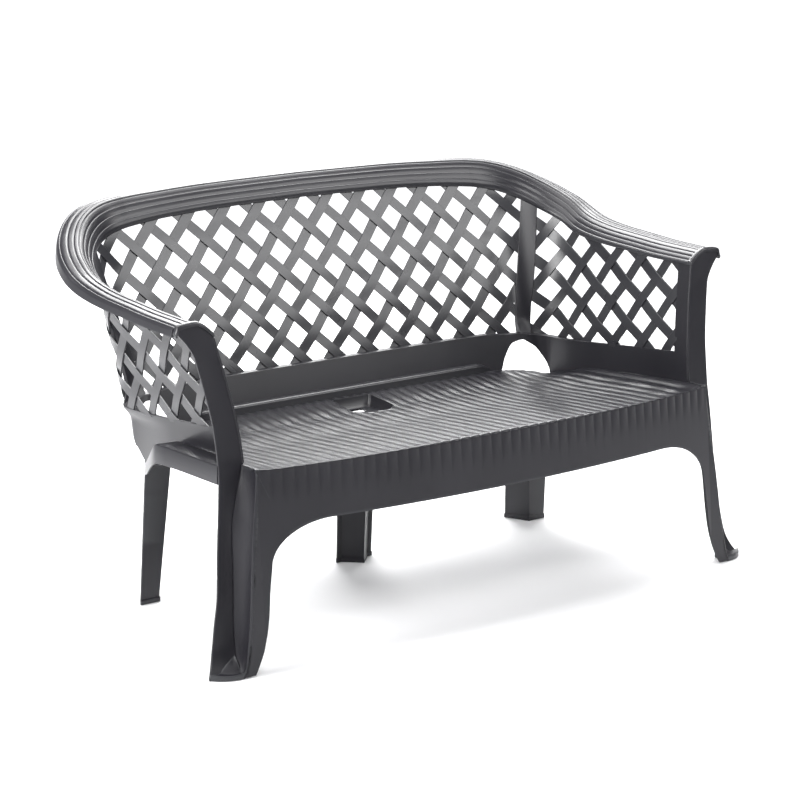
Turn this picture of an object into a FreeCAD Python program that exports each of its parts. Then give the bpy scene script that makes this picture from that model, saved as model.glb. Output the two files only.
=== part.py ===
"""Lattice-back garden bench: one stackable resin moulding, divided into its named regions.

Units are millimetres. X runs along the bench, Y towards the back, Z up. The origin is on the
floor, at the middle of the bounding box. The left side mirrors the right side.
"""
import FreeCAD
import Part
import math
import os

from FreeCAD import Placement, Rotation, Vector

doc = FreeCAD.newDocument("garden_bench")
sheet = doc.addObject("Spreadsheet::Sheet", "dims")

DRIVING = {
    # shell of the moulding
    "skin": 5.0,
    "slat_skin": 3.0,
    # seat
    "seat_height": 400.0,
    "seat_front": -383.5,
    "seat_corner_x": 588.0,
    "seat_corner_y": -334.5,
    "seat_length": 1176.0,
    "ledge_height": 16.0,
    "ledge_depth": 17.0,
    "ledge_half": 400.0,
    "ledge_foot": 360.0,
    # front skin: apron and leg fronts, leaning forwards going down
    "front_tilt": 4.7,
    "apron_depth": 117.0,
    "apron_half": 500.0,
    "arch_start": 430.0,
    "arch_rise": 80.0,
    "leg_inner": 562.0,
    "front_depth": 390.6,
    # wall of back and arms
    "arm_y": -272.5,
    "arm_splay": 0.025,
    "corner_radius": 75.0,
    "corner_opening": 0.32,
    "band_top": 440.0,
    "band_ledge": 12.4,
    "back_bow": 7.5,
    "back_bow_at": 450.0,
    # lattice
    "slat_pitch": 89.7,
    "slat_rise": 43.3,
    "slat_width": 23.0,
    "slat_middle": 629.8,
    "slat_back_lean": 0.345,
    "slat_arm_lean": 0.20,
    "arm_fall_run": 57.1,
    "arm_fall_drop": 33.3,
    "arm_climb_run": 34.5,
    "arm_climb_rise": 53.0,
    "arm_crossing_y": -52.3,
    "arm_crossing_height": 580.0,
    # rail
    "rail_width": 90.0,
    # socket behind the middle of the seat
    "socket_half": 54.0,
    "socket_front": 52.0,
    "socket_back": 158.0,
    "socket_top": 348.0,
    "socket_depth": 14.0,
    "socket_hole": 19.0,
    "socket_hole_y": 134.0,
    # rear legs
    "rear_leg_y": 149.0,
    "rear_leg_inner": 504.0,
    "rear_leg_outer": 548.0,
    "rear_leg_deep": 58.0,
    "rear_leg_top": 345.0,
    "middle_leg_y": 112.0,
    "middle_leg_half": 35.0,
    "middle_leg_top": 333.0,
    # under-seat parts
    "rib_depth": 22.0,
    "skirt_drop": 41.0,
}

for row, (name, value) in enumerate(DRIVING.items(), start=1):
    sheet.set(f"A{row}", name)
    sheet.set(f"B{row}", str(value))
    sheet.setAlias(f"B{row}", name)
doc.recompute()


def size(name):
    """A driving dimension, read back from the sheet."""
    return float(getattr(sheet, name))


SKIN = size("skin")
SIDES = (("left", -1), ("right", 1))
finished = []


# ---------------------------------------------------------------- sketches and bodies

def plane(body, role):
    """One of a body's own origin planes."""
    return next(item for item in body.Origin.OriginFeatures if item.Role == role)


def new_body(label, placement=None):
    """A named body, registered as a sub-part."""
    body = doc.addObject("PartDesign::Body", label)
    body.Label = label
    if placement:
        body.Placement = placement
    finished.append(body)
    return body


def new_sketch(body, name, role="XY_Plane"):
    sketch = body.newObject("Sketcher::SketchObject", name)
    sketch.AttachmentSupport = [(plane(body, role), "")]
    sketch.MapMode = "FlatFace"
    return sketch


def outline(sketch, points, arcs=()):
    """Closed outline through the points; arcs maps an edge's index to the point it bows through."""
    bows = dict(arcs)
    count = len(points)
    edges = []
    for index, start in enumerate(points):
        end = points[(index + 1) % count]
        first = Vector(start[0], start[1], 0)
        last = Vector(end[0], end[1], 0)
        if index in bows:
            middle = Vector(bows[index][0], bows[index][1], 0)
            edges.append(Part.Arc(first, middle, last))
        else:
            edges.append(Part.LineSegment(first, last))
    sketch.addGeometry(edges, False)
    return sketch


def pad(body, sketch, length, reverse=False):
    """Pad whose length is an expression on the sheet."""
    feature = body.newObject("PartDesign::Pad", sketch.Name + "_pad")
    feature.Profile = sketch
    feature.setExpression("Length", length)
    feature.Reversed = reverse
    sketch.Visibility = False
    doc.recompute()
    return feature


def pocket_through(body, sketch):
    """Pocket through everything, both ways; raises if it cuts nothing."""
    before = body.Shape.Volume
    feature = body.newObject("PartDesign::Pocket", sketch.Name + "_pocket")
    feature.Profile = sketch
    feature.Type = 1
    feature.Midplane = True
    doc.recompute()
    if body.Shape.Volume > before - 1.0:
        raise RuntimeError(f"{sketch.Name} cuts nothing")
    return feature


def loft_body(label, sections):
    """Body lofted straight between level outlines: sections is a list of (height, points)."""
    body = new_body(label)
    sketches = []
    for number, (height, points) in enumerate(sections):
        sketch = new_sketch(body, f"{label}_section_{number}")
        sketch.AttachmentOffset = Placement(Vector(0, 0, height), Rotation())
        outline(sketch, points)
        sketches.append(sketch)
    doc.recompute()
    feature = body.newObject("PartDesign::AdditiveLoft", label + "_loft")
    feature.Profile = sketches[0]
    feature.Sections = sketches[1:]
    feature.Ruled = True
    doc.recompute()
    return body


def solid_feature(label, shape):
    """Sub-part whose shape is made with Part's own functions."""
    feature = doc.addObject("Part::Feature", label)
    feature.Label = label
    feature.Shape = shape
    finished.append(feature)
    return feature


def between(table, at):
    """Straight-line value of a table of (position, value) at a position."""
    if at <= table[0][0]:
        return table[0][1]
    for (low, first), (high, second) in zip(table, table[1:]):
        if at <= high:
            return first + (second - first) * (at - low) / (high - low)
    return table[-1][1]


# ---------------------------------------------------------------- wall of back and arms

# Inner face of the lattice: (height, x) of the arm's front and (height, y) of the back's middle.
ARM_FACE = [(330, 575), (366, 578), (396, 581), (440, 585), (455, 587), (536, 600), (570, 607), (604, 614),
            (642, 622), (700, 633), (860, 663)]
BACK_FACE = [(300, 173), (366, 190), (456, 215.8), (500, 228.3), (543.4, 241.6), (587, 255.6), (630, 270.3),
             (673, 285.9), (716.5, 302.2), (757.3, 318.1), (860, 360)]

# (height, y) of the post's front face, measured from the arm's reference line.
POST_SET_BACK = [(0, -76), (20, -60), (50, -46), (95, -37), (150, -32), (228, -25), (340, -18), (396, -12),
                 (642, 28)]


def wall_frame(height):
    """Plan of the wall's inner face at a height: corner radius, corner centre, arm normal."""
    radius = size("corner_radius") + size("corner_opening") * (height - size("band_top"))
    splay = size("arm_splay")
    length = math.hypot(1.0, splay)
    centre_y = between(BACK_FACE, height) - radius
    centre_x = between(ARM_FACE, height) - radius * length - splay * (centre_y - size("arm_y"))
    return radius, centre_x, centre_y, (1.0 / length, splay / length)


def back_bow(x):
    """How far the back bows forward at x."""
    return size("back_bow") * (x / size("back_bow_at")) ** 6


def post_front_y(height):
    """Y of the post's front face at a height."""
    return size("arm_y") + between(POST_SET_BACK, height)


def wall_point(place, height, out=0.0):
    """Point on the right half of the wall, out millimetres outside its inner face.

    place runs -1 at the middle of the back, 0 and 1 at the ends of the corner's round, and 2
    at the front of the arm.
    """
    radius, centre_x, centre_y, normal = wall_frame(height)
    reach = radius + out
    if place <= 0:
        x = centre_x * (1 + place)
        return Vector(x, centre_y + reach - back_bow(x), height)
    last = math.atan2(normal[1], normal[0])
    if place <= 1:
        angle = math.pi / 2 + (last - math.pi / 2) * place
        reach -= back_bow(centre_x) * (1 - place * place * (3 - 2 * place))
        return Vector(centre_x + reach * math.cos(angle), centre_y + reach * math.sin(angle), height)
    start = Vector(centre_x + reach * normal[0], centre_y + reach * normal[1], height)
    front = post_front_y(height) + SKIN + 0.3
    run = (centre_y + radius * normal[1] - front) / normal[0] * (place - 1)
    return start + Vector(normal[1] * run, -normal[0] * run, 0)


# Height of the edges along the wall, and places of its upright lines low, halfway and high.
RAIL_EDGE = [(-1, 779.5), (-0.5, 776), (-0.2, 769.5), (0, 761), (0.17, 753), (0.3, 743), (0.46, 726),
             (0.6, 709), (0.72, 696), (0.84, 684), (0.96, 669), (1.1, 657), (1.3, 649.5), (1.5, 645.5),
             (1.7, 641.5), (2.0, 639.5)]
BAND_EDGE = [(-1, 443), (-0.2, 442), (-0.06, 437), (0.4, 431), (1.0, 427), (1.23, 431.5), (1.5, 441),
             (1.67, 447), (2.0, 457)]
WALL_FOOT = [(-1, 362), (-0.27, 360), (-0.16, 354), (0.8, 342), (1.02, 341), (1.084, 349), (1.172, 358),
             (1.234, 366), (1.52, 377), (2.0, 391)]
CENTRE, POST_IN, POST_OUT, STILE, FRONT = 0.0, 1.0, 2.0, 3.0, 4.0
LINES_LOW = [(0, -1), (1, 0.0), (2, 0.366), (3, 1.905), (4, 2.0)]
LINES_HALF = [(0, -1), (1, 0.33), (2, 0.54), (3, 1.905), (4, 2.0)]
LINES_HIGH = [(0, -1), (1, 0.46), (2, 0.59), (3, 1.905), (4, 2.0)]


def band_face(place):
    """Offset of the band's inner face: it stands inside the lattice, except along the arm's front."""
    return -size("band_ledge") * max(0.0, min(1.0, (1.4 - place) / 0.5))


def wall_strip(lines, low, high, near, far):
    """Solid strip of wall between upright lines.

    lines lists the uprights it is lofted through; low and high give the place and height of
    its bottom and top edge at an upright; near, a distance or a function of the place, and far
    are its faces' distances outside the wall's inner face.
    """
    rings = []
    for line in lines:
        spots = [low(line), halfway(line, low, high), high(line)]
        faces = [near(place) if callable(near) else near for place, _ in spots]
        inside = [wall_point(place, height, face) for (place, height), face in zip(spots, faces)]
        outside = [wall_point(place, height, far) for place, height in spots]
        rings.append(inside + outside[::-1])
    return faceted_solid(rings)


def halfway(line, low, high):
    """Place and height halfway up an upright line."""
    low_place, low_height = low(line)
    high_place, high_height = high(line)
    middle = (low_height + high_height) / 2
    if high is at_rail:
        return between(LINES_HALF, line), middle
    return (low_place + high_place) / 2, middle


def triangles(a, b, c, d):
    """Two triangular faces over four corners that need not lie in one plane."""
    return [Part.Face(Part.makePolygon([a, b, c, a])), Part.Face(Part.makePolygon([a, c, d, a]))]


def end_faces(ring):
    """Faces that close the end of a skin, over a ring whose second half runs back beside the first."""
    faces = []
    last = len(ring) - 1
    for index in range(len(ring) // 2 - 1):
        faces += triangles(ring[index], ring[index + 1], ring[last - index - 1], ring[last - index])
    return faces


def faceted_solid(rings):
    """Closed solid skinned with triangles over a row of rings with the same number of corners."""
    faces = end_faces(rings[0]) + end_faces(rings[-1])
    count = len(rings[0])
    for first, second in zip(rings, rings[1:]):
        for index in range(count):
            following = (index + 1) % count
            faces += triangles(first[index], first[following], second[following], second[index])
    shell = Part.makeShell(faces)
    shell.sewShape()
    solid = Part.makeSolid(shell)
    if solid.Volume < 0:
        solid.reverse()
    return solid


def steps(first, last, count):
    return [first + (last - first) * index / count for index in range(count + 1)]


def at_foot(line):
    place = between(LINES_LOW, line)
    return place, between(WALL_FOOT, place)


def at_band(line):
    place = between(LINES_LOW, line)
    return place, between(BAND_EDGE, place)


def at_rail(line):
    place = between(LINES_HIGH, line)
    return place, between(RAIL_EDGE, place)


def mirrored(shape):
    return shape.mirror(Vector(0, 0, 0), Vector(1, 0, 0))


def on_side(shape, side):
    return shape if side > 0 else mirrored(shape)


def both(shape):
    """The shape and its mirror image, fused where they meet at the middle."""
    return shape.fuse(mirrored(shape)).removeSplitter()


def solids(shape):
    """The shape's solids as one compound."""
    return Part.makeCompound(shape.Solids)


# ---------------------------------------------------------------- seat

# Height of the seat's top along its middle, by Y.
SEAT_MIDDLE = [(-383.5, 400), (-330, 379), (-280, 369), (-210, 365), (-120, 359.5), (-30, 354), (60, 353.5),
               (115, 358), (176, 366)]

# (Y, x) of the seat's side edge, from the front corner to the back.
SEAT_EDGE = [(-334.5, 580), (-272, 576), (-73, 570), (44, 562), (106, 554), (136, 546), (155, 526), (166, 500),
             (172, 455), (174, 432)]


def seat_panel():
    """Dished panel: its side profile padded across the bench, then trimmed to the seat's plan."""
    body = new_body("seat_panel")
    profile = new_sketch(body, "seat_profile", "YZ_Plane")
    under = [(y, height - SKIN) for y, height in SEAT_MIDDLE[::-1]]
    outline(profile, SEAT_MIDDLE + under)
    slab = pad(body, profile, "dims.seat_length")
    slab.Midplane = True
    doc.recompute()
    trim = new_sketch(body, "seat_trim")
    right = [(x, y) for y, x in SEAT_EDGE]
    left = [(-x, y) for x, y in right[::-1]]
    outline(trim, right + left, {2 * len(right) - 1: (0, size("seat_front"))})
    far = size("seat_length")
    outline(trim, [(-far, -far), (far, -far), (far, far), (-far, far)])
    pocket_through(body, trim)
    mouth = new_sketch(body, "socket_mouth")
    half = size("socket_half")
    low = size("socket_front")
    high = size("socket_back")
    outline(mouth, [(-half, low), (half, low), (half, high), (-half, high)])
    pocket_through(body, mouth)


def seat_socket():
    """Tub under the mouth in the seat, with a round drain hole in its floor."""
    body = new_body("seat_socket", Placement(Vector(0, 0, size("socket_top")), Rotation()))
    half = size("socket_half")
    low = size("socket_front")
    high = size("socket_back")
    outer = new_sketch(body, "tub_outside")
    outline(outer, [(-half - SKIN, low - SKIN), (half + SKIN, low - SKIN),
                    (half + SKIN, high + SKIN), (-half - SKIN, high + SKIN)])
    pad(body, outer, "dims.socket_depth", reverse=True)
    inner = new_sketch(body, "tub_inside")
    outline(inner, [(-half, low), (half, low), (half, high), (-half, high)])
    before = body.Shape.Volume
    hollow = body.newObject("PartDesign::Pocket", "tub_hollow")
    hollow.Profile = inner
    hollow.setExpression("Length", "dims.socket_depth - dims.skin")
    doc.recompute()
    if body.Shape.Volume > before - 1.0:
        raise RuntimeError("the tub is not hollow")
    drain = new_sketch(body, "drain")
    centre = Vector(0, size("socket_hole_y"), 0)
    drain.addGeometry(Part.Circle(centre, Vector(0, 0, 1), size("socket_hole")), False)
    pocket_through(body, drain)


def seat_back_ledge():
    """Raised ledge along the back of the seat."""
    body = new_body("seat_back_ledge", Placement(Vector(0, 0, size("ledge_foot")), Rotation()))
    sketch = new_sketch(body, "ledge_plan")
    far = SEAT_EDGE[-1][0] + 2.0
    near = far - size("ledge_depth")
    half = size("ledge_half")
    outline(sketch, [(-half, near), (half, near), (half, far), (-half, far)])
    pad(body, sketch, "dims.ledge_height")


# Y of the long ribs' front faces and reach of the ribs along X.
RIB_ROWS = (-285.0, -150.0, -15.0)
LONG_RIB_REACH = 470.0
CROSS_RIB_REACH = 420.0
RIB_GAP = 0.2


def seat_ribs():
    """Stiffening ribs under the seat: three long ones and short cross ribs between them."""
    drop = size("rib_depth")
    tops = [between(SEAT_MIDDLE, row) - SKIN for row in RIB_ROWS]
    long_ribs = []
    for row, top in zip(RIB_ROWS, tops):
        low = Vector(-LONG_RIB_REACH, row, top - drop)
        long_ribs.append(Part.makeBox(2 * LONG_RIB_REACH, SKIN, drop - 1.0, low))
    solid_feature("seat_ribs_long", Part.makeCompound(long_ribs))
    cross = []
    for x in steps(-CROSS_RIB_REACH, CROSS_RIB_REACH, 6):
        for near, far, top in zip(RIB_ROWS, RIB_ROWS[1:], tops[1:]):
            low = Vector(x - SKIN / 2, near + SKIN + RIB_GAP, top - drop)
            length = far - near - SKIN - 2 * RIB_GAP
            cross.append(Part.makeBox(SKIN, length, drop - 1.0, low))
    solid_feature("seat_ribs_cross", Part.makeCompound(cross))


# ---------------------------------------------------------------- front skin

def front_placement():
    """Front frame: its XY plane touches the underside of the seat's front edge."""
    start = Vector(0, size("seat_front"), size("seat_height") - SKIN - 0.5)
    return Placement(start, Rotation(Vector(1, 0, 0), -size("front_tilt")))


def bow(x):
    """Set-back of the bowed front edge at x, from its middle."""
    half = size("seat_corner_x")
    sag = size("seat_corner_y") - size("seat_front")
    radius = (half * half + sag * sag) / (2 * sag)
    return radius - math.sqrt(radius * radius - x * x)


def bowed_band(body, first, last):
    """Pad of a bowed strip of the front skin between two places along X, down to the floor."""
    sketch = new_sketch(body, body.Label + "_plan")
    middle = (first + last) / 2
    points = [
        (first, bow(first)),
        (last, bow(last)),
        (last, bow(last) + SKIN),
        (first, bow(first) + SKIN),
    ]
    outline(sketch, points, {0: (middle, bow(middle)), 2: (middle, bow(middle) + SKIN)})
    pad(body, sketch, "dims.front_depth", reverse=True)


def front_apron():
    body = new_body("front_apron", front_placement())
    half = size("apron_half")
    bowed_band(body, -half, half)
    below = new_sketch(body, "arch_opening", "XZ_Plane")
    start = size("arch_start")
    edge = -size("apron_depth")
    drop = size("leg_inner") - start
    cosine = math.sqrt(1 - ((half - start) / drop) ** 2)
    low = edge - size("arch_rise") * (1 - cosine)
    middle = (start + half) / 2
    middle_cosine = math.sqrt(1 - ((middle - start) / drop) ** 2)
    middle_low = edge - size("arch_rise") * (1 - middle_cosine)
    far = -size("seat_height") - 50.0
    points = [
        (-start, edge),
        (start, edge),
        (half + 20, low - 18),
        (half + 20, far),
        (-half - 20, far),
        (-half - 20, low - 18),
    ]
    outline(below, points, {1: (middle, middle_low), 5: (-middle, middle_low)})
    pocket_through(body, below)


# Inner and outer edge of the leg's front face: (depth under the seat, x).
LEG_INNER = [(160, 556), (195, 562), (240, 568), (295, 572), (348, 582), (384, 597), (398, 606)]
LEG_OUTER = [(0, 590), (60, 600), (120, 607), (200, 613), (294, 619), (348, 626), (384, 634), (398, 641)]


def front_leg(label, side):
    """Front face of a leg, from the apron's end down to the foot."""
    body = new_body(label, front_placement())
    half = size("apron_half") + 0.3
    bowed_band(body, min(side * half, side * 640.0), max(side * half, side * 640.0))
    edges = [("inside", LEG_INNER, -1), ("outside", LEG_OUTER, 1)]
    for name, edge, away in edges:
        cut = new_sketch(body, f"{label}_{name}", "XZ_Plane")
        if away < 0:
            arch = arch_points()
            chain = arch + [(x, -depth) for depth, x in edge]
            limit = size("apron_half") - 10.0
            loop = chain + [(chain[-1][0], -460.0), (limit, -460.0)]
        else:
            chain = [(x, -depth) for depth, x in edge]
            loop = [(chain[0][0], 20.0)] + chain + [(chain[-1][0], -460.0), (700.0, -460.0), (700.0, 20.0)]
        outline(cut, [(side * x, z) for x, z in loop])
        pocket_through(body, cut)


def arch_points():
    """Elliptical turn of the apron's lower edge into the leg, as chords."""
    start = size("arch_start")
    drop = size("leg_inner") - start
    points = []
    for degrees in (28, 40, 52, 64, 74):
        angle = math.radians(degrees)
        x = start + drop * math.sin(angle)
        z = -size("apron_depth") - size("arch_rise") * (1 - math.cos(angle))
        points.append((x, z))
    points[0] = (size("apron_half") - 10.0, points[0][1] + 4.0)
    return points


# ---------------------------------------------------------------- leg sides, posts and feet

# (height, x) tables of the upright edges seen from the front.
RETURN_BACK_X = [(0, 640), (20, 634), (50, 630), (95, 627), (150, 623), (200, 620), (280, 617), (340, 604),
                 (392, 586)]
POST_OUTER_X = [(0, 700), (20, 684), (50, 674), (95, 667), (150, 660), (228, 655), (320, 647), (394, 641),
                (470, 647), (570, 667), (642, 690)]
POST_INNER_X = [(0, 640), (20, 634), (50, 630), (95, 627), (150, 623), (200, 620), (280, 617), (340, 604),
                (392, 585), (450, 588), (540, 601), (642, 622)]
POST_SWEEP = [(0, 12), (50, 6), (95, 2), (228, 0)]
FOOT_LEVELS = (0, 20, 50, 95, 150, 200, 280, 340, 392)


def leg_front_y(height):
    """Y of the front skin's outer end at a height."""
    lean = math.tan(math.radians(size("front_tilt")))
    return size("seat_corner_y") - lean * (size("seat_height") - height)


def leg_return(label, side):
    """Side of the leg, running back from the front face to the post."""
    sections = []
    for level in FOOT_LEVELS:
        front_x = between(LEG_OUTER, size("seat_height") - level)
        back_x = between(RETURN_BACK_X, level)
        front_y = leg_front_y(level) + SKIN + 3.0
        back_y = post_front_y(level) - 0.3
        points = [(front_x - SKIN, front_y), (front_x, front_y), (back_x, back_y), (back_x - SKIN, back_y)]
        sections.append((level, [(side * x, y) for x, y in points]))
    loft_body(label, sections)


def arm_post(label, side):
    """Set-back outer plate of the leg, running up as the front of the arm."""
    sections = []
    for level in FOOT_LEVELS + (396, 450, 540, 590, 642):
        inner = between(POST_INNER_X, level)
        outer = between(POST_OUTER_X, level)
        y = post_front_y(level)
        swept = y + between(POST_SWEEP, level)
        points = [(inner - SKIN, y), (outer, swept), (outer, swept + SKIN), (inner - SKIN, y + SKIN)]
        sections.append((level, [(side * x, y) for x, y in points]))
    loft_body(label, sections)


def front_toe(label, side):
    """Toe plate that closes the bottom of the leg in front of the post."""
    body = new_body(label)
    sketch = new_sketch(body, label + "_plan")
    front = leg_front_y(0)
    back = post_front_y(0) - 0.5
    points = [(641.0, front), (664.0, front - 6.0), (690.0, back - 2.0), (700.0, back + 10.0), (641.0, back)]
    outline(sketch, [(side * x, y) for x, y in points])
    pad(body, sketch, "dims.skin * 2")


def rear_leg(label, side):
    """Angle leg under a rear corner: a front panel with a flange running back from its inner edge."""
    low_y = size("rear_leg_y")
    inner = size("rear_leg_inner")
    outer = size("rear_leg_outer")
    deep = size("rear_leg_deep")
    sections = []
    for level, y, left, right in ((0, low_y, inner, outer), (size("rear_leg_top"), low_y - 24, inner - 26, outer - 6)):
        points = [
            (left, y), (right, y), (right, y + SKIN), (left + SKIN, y + SKIN),
            (left - 20, y + deep), (left - 25, y + deep),
        ]
        sections.append((level, [(side * x, line) for x, line in points]))
    loft_body(label, sections)


def rear_leg_middle():
    """Middle rear leg: a chevron pointing forwards, with a small flange on each end."""
    half = size("middle_leg_half")
    flange = 12.0
    sections = []
    for level, shift, grow in ((0, 0, 1.0), (size("middle_leg_top"), -20, 1.15)):
        y = size("middle_leg_y") + shift
        reach = half * grow
        points = [
            (0, y), (reach, y + reach), (reach + flange, y + reach), (reach + flange, y + reach + SKIN),
            (reach - 2, y + reach + SKIN), (0, y + SKIN * 1.5), (-reach + 2, y + reach + SKIN),
            (-reach - flange, y + reach + SKIN), (-reach - flange, y + reach), (-reach, y + reach),
        ]
        sections.append((level, points))
    loft_body("rear_leg_middle", sections)


# ---------------------------------------------------------------- walls, posts and skirts

def wall_parts():
    """Band, corner, stile and post regions of the back and arm wall."""
    back = wall_strip(steps(0, 0.75, 6), at_foot, at_band, band_face, 6)
    solid_feature("back_band", both(back))
    post = wall_strip(steps(POST_IN, POST_OUT, 3), at_band, at_rail, -1.5, 7)
    corner = wall_strip(steps(0.75, 2.5, 14), at_foot, at_band, band_face, 6)
    corner = corner.cut(arch_cutter())
    arm = wall_strip(steps(2.5, FRONT, 3), at_foot, at_band, band_face, 6)
    stile = wall_strip([STILE, FRONT], at_band, at_rail, 0, 6)
    for name, side in SIDES:
        solid_feature(f"corner_post_{name}", on_side(post, side))
        solid_feature(f"corner_wall_{name}", on_side(corner, side))
        solid_feature(f"arm_band_{name}", on_side(arm, side))
        solid_feature(f"arm_stile_{name}", on_side(stile, side))


def arch_cutter():
    """Upright elliptical opening through the rear corner, facing the diagonal."""
    centre = wall_point(0.25, size("seat_height") - 56.0)
    across = Vector(1, -1, 0).normalize()
    through = Vector(1, 1, 0).normalize()
    ellipse = Part.Ellipse(centre + Vector(0, 0, 78), centre + across * 68, centre)
    face = Part.Face(Part.Wire(ellipse.toShape()))
    face.translate(through * -90)
    return face.extrude(through * 220)


# (Y, x, top) of the side rim's outer face, from the post to the rear leg.
SIDE_RIM = [(-262, 640, 408), (-50, 640, 402), (-20, 622, 392), (50, 588, 364), (118, 553, 340)]
REAR_RIM = (415.0, 182.0, 326.0, 40.0)


def skirts():
    """Rims that hang outside the foot of the arms and of the back."""
    drop = size("skirt_drop")
    rings = []
    for y, x, high in SIDE_RIM:
        rings.append([
            Vector(x - SKIN, y, high),
            Vector(x, y, high - 6),
            Vector(x, y, high - drop),
            Vector(x - SKIN, y, high - drop),
        ])
    side_skirt = faceted_solid(rings)
    for name, side in SIDES:
        solid_feature(f"side_skirt_{name}", on_side(side_skirt, side))
    half, y, low, height = REAR_RIM
    solid_feature("rear_skirt", Part.makeBox(2 * half, SKIN, height, Vector(-half, y, low)))


# ---------------------------------------------------------------- lattice

def slat_prisms(centre, along, up, own, over):
    """Parallel slats as boxes through the wall, about a crossing, in a plane of along and up.

    own is the step along the slats from crossing to crossing, and over the step to the next slat.
    """
    through = along.cross(up).normalize()
    length_of_step = math.hypot(own[0], own[1])
    run = along * (own[0] / length_of_step) + up * (own[1] / length_of_step)
    across = through.cross(run).normalize()
    spacing = abs(own[0] * over[1] - own[1] * over[0]) / length_of_step
    width = size("slat_width")
    length = 1500.0
    boxes = []
    for number in range(-12, 13):
        corner = centre + across * (number * spacing - width / 2) - run * (length / 2) - through * 120
        edges = [corner, corner + run * length, corner + run * length + across * width, corner + across * width]
        face = Part.Face(Part.makePolygon(edges + edges[:1]))
        boxes.append(face.extrude(through * 240))
    return Part.makeCompound(boxes)


def lattices():
    """Crossing slats: the rising ones in the wall's inner layer, the falling ones outside them."""
    layer = size("slat_skin")
    back_up = Vector(0, size("slat_back_lean"), 1).normalize()
    back_rise = size("slat_rise") * math.hypot(1.0, size("slat_back_lean"))
    back_steps = [(size("slat_pitch") / 2, back_rise), (size("slat_pitch") / 2, -back_rise)]
    origin = wall_point(-1, size("slat_middle"))
    normal = wall_frame(size("slat_middle"))[3]
    arm_along = Vector(normal[1], -normal[0], 0)
    arm_up = Vector(size("slat_arm_lean"), 0, 1).normalize()
    stretch = math.hypot(1.0, size("slat_arm_lean"))
    arm_steps = [
        (size("arm_climb_run"), size("arm_climb_rise") * stretch),
        (size("arm_fall_run"), -size("arm_fall_drop") * stretch),
    ]
    arm_face = between(ARM_FACE, size("arm_crossing_height"))
    arm_origin = Vector(arm_face, size("arm_crossing_y"), size("arm_crossing_height"))
    for index, (name, near) in enumerate((("rising", 0.0), ("falling", layer))):
        other = 1 - index
        window = both(wall_strip(steps(CENTRE, POST_IN, 8), at_band, at_rail, near, near + layer))
        prisms = slat_prisms(origin, Vector(1, 0, 0), back_up, back_steps[index], back_steps[other])
        solid_feature(f"back_slats_{name}", solids(window.common(prisms)))
        window = wall_strip(steps(POST_OUT, STILE, 6), at_band, at_rail, near, near + layer)
        prisms = slat_prisms(arm_origin, arm_along, arm_up, arm_steps[index], arm_steps[other])
        slats = solids(window.common(prisms))
        for side_name, side in SIDES:
            solid_feature(f"arm_slats_{name}_{side_name}", on_side(slats, side))


# ---------------------------------------------------------------- rail

# Section of the rail: (distance out, height) from its inner edge, over the top and back under.
RAIL_SECTION = [(-2.6, 0), (-2.6, 6), (8, 15), (22, 24), (40, 30), (62, 29), (82, 26), (89.5, 20), (90.5, 8.5),
                (85, 8.5), (83, 14), (78, 20), (60, 23), (40, 24), (24, 18), (12, 10), (7, 0)]
RAIL_WIDTH = [(-1, 0.74), (0.0, 0.76), (0.5, 0.82), (1.0, 0.92), (1.3, 0.95)]
RAIL_RISE = [(-1, 1.78), (-0.22, 1.80), (0, 1.92), (0.41, 1.98), (0.6, 1.90), (0.9, 1.58), (1.1, 1.33),
             (1.3, 1.22), (2.0, 1.12)]


def rail_wire(place):
    """Section of the rail at a place along the wall, square to the wall."""
    height = between(RAIL_EDGE, place) + 0.3
    rise = between(RAIL_RISE, place)
    inner = wall_point(place, height)
    outer = wall_point(place, height, 100.0)
    out = (outer - inner).normalize()
    stretch = size("rail_width") / 90.0 * between(RAIL_WIDTH, place)
    points = [inner + out * (u * stretch) + Vector(0, 0, w * rise) for u, w in RAIL_SECTION]
    return Part.makePolygon(points + points[:1])


def rail_piece(places):
    return Part.makeLoft([rail_wire(place) for place in places], True, True)


def rails():
    back = rail_piece([-1, -0.75, -0.5, -0.35, -0.2, -0.1])
    solid_feature("top_rail", both(back))
    corner = rail_piece(steps(-0.1, 1.1, 12))
    arm = rail_piece([1.1, 1.18, 1.26, 1.4, 1.6, 1.8, 1.97])
    cap = arm_cap()
    for name, side in SIDES:
        solid_feature(f"rail_corner_{name}", on_side(corner, side))
        solid_feature(f"arm_rail_{name}", on_side(arm, side))
        solid_feature(f"arm_cap_{name}", on_side(cap, side))


def arm_cap():
    """Raised border that closes the front end of the arm's rail, over the post."""
    start = wall_point(1.972, between(RAIL_EDGE, 2.0) + 1.0)
    end = Vector(start.x, post_front_y(642) - 3.5, start.z)
    rise = between(RAIL_RISE, 2.0)
    width = between(RAIL_WIDTH, 2.0)
    ring = [(-2.6, 1)] + RAIL_SECTION[1:9] + [(80, 1)]
    wires = []
    for base, grow in ((start, 0.0), (end, 4.0)):
        points = [base + Vector(u * width, 0, w * rise + grow * min(1.0, w / 10.0)) for u, w in ring]
        wires.append(Part.makePolygon(points + points[:1]))
    return Part.makeLoft(wires, True, True)


# ---------------------------------------------------------------- build and write

seat_panel()
seat_socket()
seat_back_ledge()
seat_ribs()
front_apron()
for side_name, side_sign in SIDES:
    front_leg(f"front_leg_{side_name}", side_sign)
    leg_return(f"leg_return_{side_name}", side_sign)
    arm_post(f"arm_post_{side_name}", side_sign)
    front_toe(f"front_toe_{side_name}", side_sign)
    rear_leg(f"rear_leg_{side_name}", side_sign)
rear_leg_middle()
wall_parts()
skirts()
lattices()
rails()
doc.recompute()

for item in doc.Objects:
    if "Invalid" in item.State or "Error" in item.State:
        raise RuntimeError(f"{item.Label} failed: {item.State}")

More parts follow.
